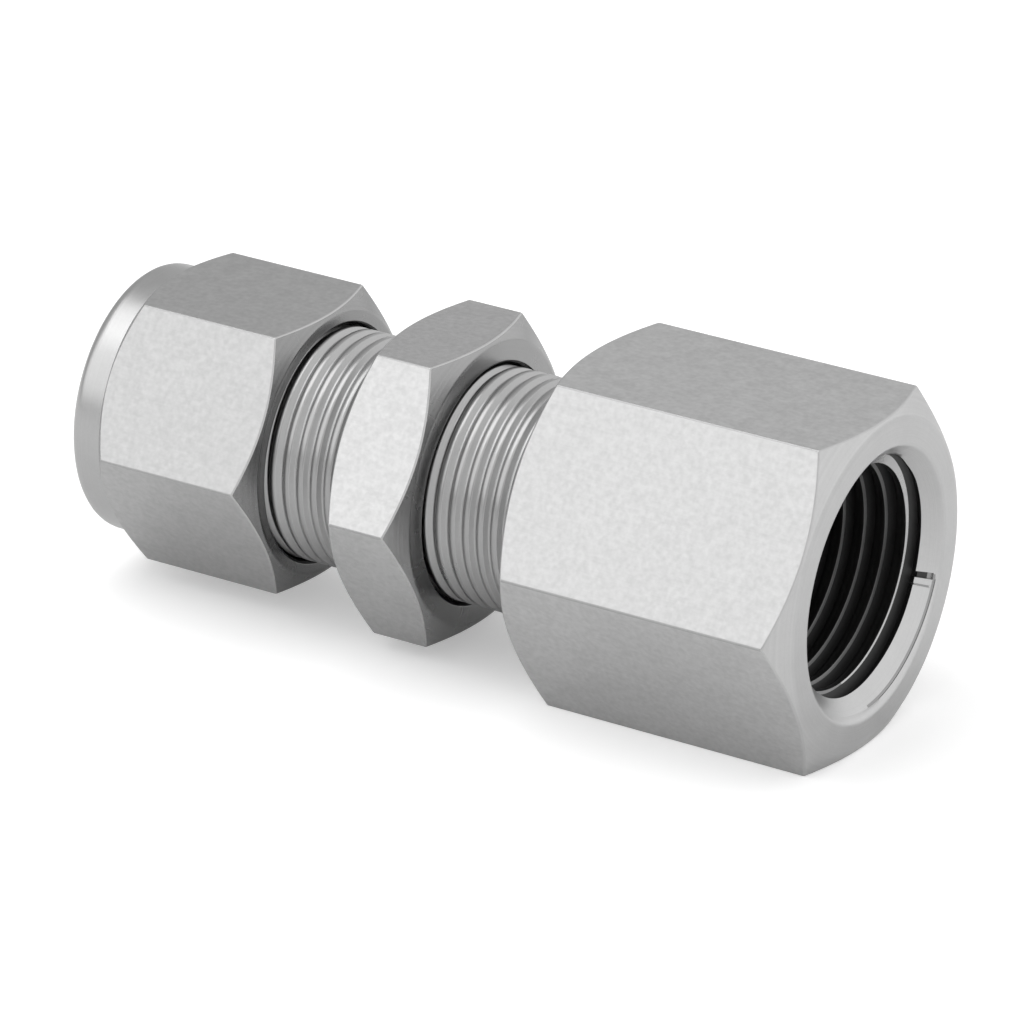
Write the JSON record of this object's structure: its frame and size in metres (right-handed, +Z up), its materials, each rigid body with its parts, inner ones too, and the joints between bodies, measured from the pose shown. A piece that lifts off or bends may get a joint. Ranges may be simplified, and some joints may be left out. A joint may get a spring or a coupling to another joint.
{
  "type": "bulkhead female connector",
  "caption": "Bulkhead connector with a female pipe port in a long hexagon, a threaded shank for a panel, a lock nut, and a compression nut with ferrules for tube.",
  "frame": {"origin": "on the fitting's axis, in the plane of the shoulder face that the panel rests against", "axes": "+X along the axis and out of the female port, +Z up from a flat of the body's hexagon, +Y to the back"},
  "size_m": [0.0671, 0.0312, 0.027],
  "materials": {
    "body_steel": "machined bar stock, fine grain, satin",
    "nut_steel": "machined bar stock, fine grain, satin",
    "ferrule_steel": "turned, smooth"
  },
  "bodies": {
    "body": {"body": "body_steel"},
    "lock_nut": {"lock_nut": "nut_steel"},
    "ferrules": {"front_ferrule": "ferrule_steel", "back_ferrule": "ferrule_steel"},
    "tube_nut": {"tube_nut": "nut_steel"}
  },
  "joints": [
    {"name": "lock_nut_run", "type": "slide", "parent": "body", "child": "lock_nut", "axis": [1, 0, 0], "range_m": [-0.00635, 0.00889]},
    {"name": "ferrule_travel", "type": "slide", "parent": "body", "child": "ferrules", "axis": [1, 0, 0], "range_m": [-0.0064, 0]},
    {"name": "tube_nut_turn", "type": "hinge", "parent": "ferrules", "child": "tube_nut", "pos_m": [0, 0, 0], "axis": [1, 0, 0], "range_deg": [-1800, 0]}
  ],
  "couplings": [
    {"joint": "ferrule_travel", "follows": "tube_nut_turn", "m_per_rad": 0.00020213}
  ]
}
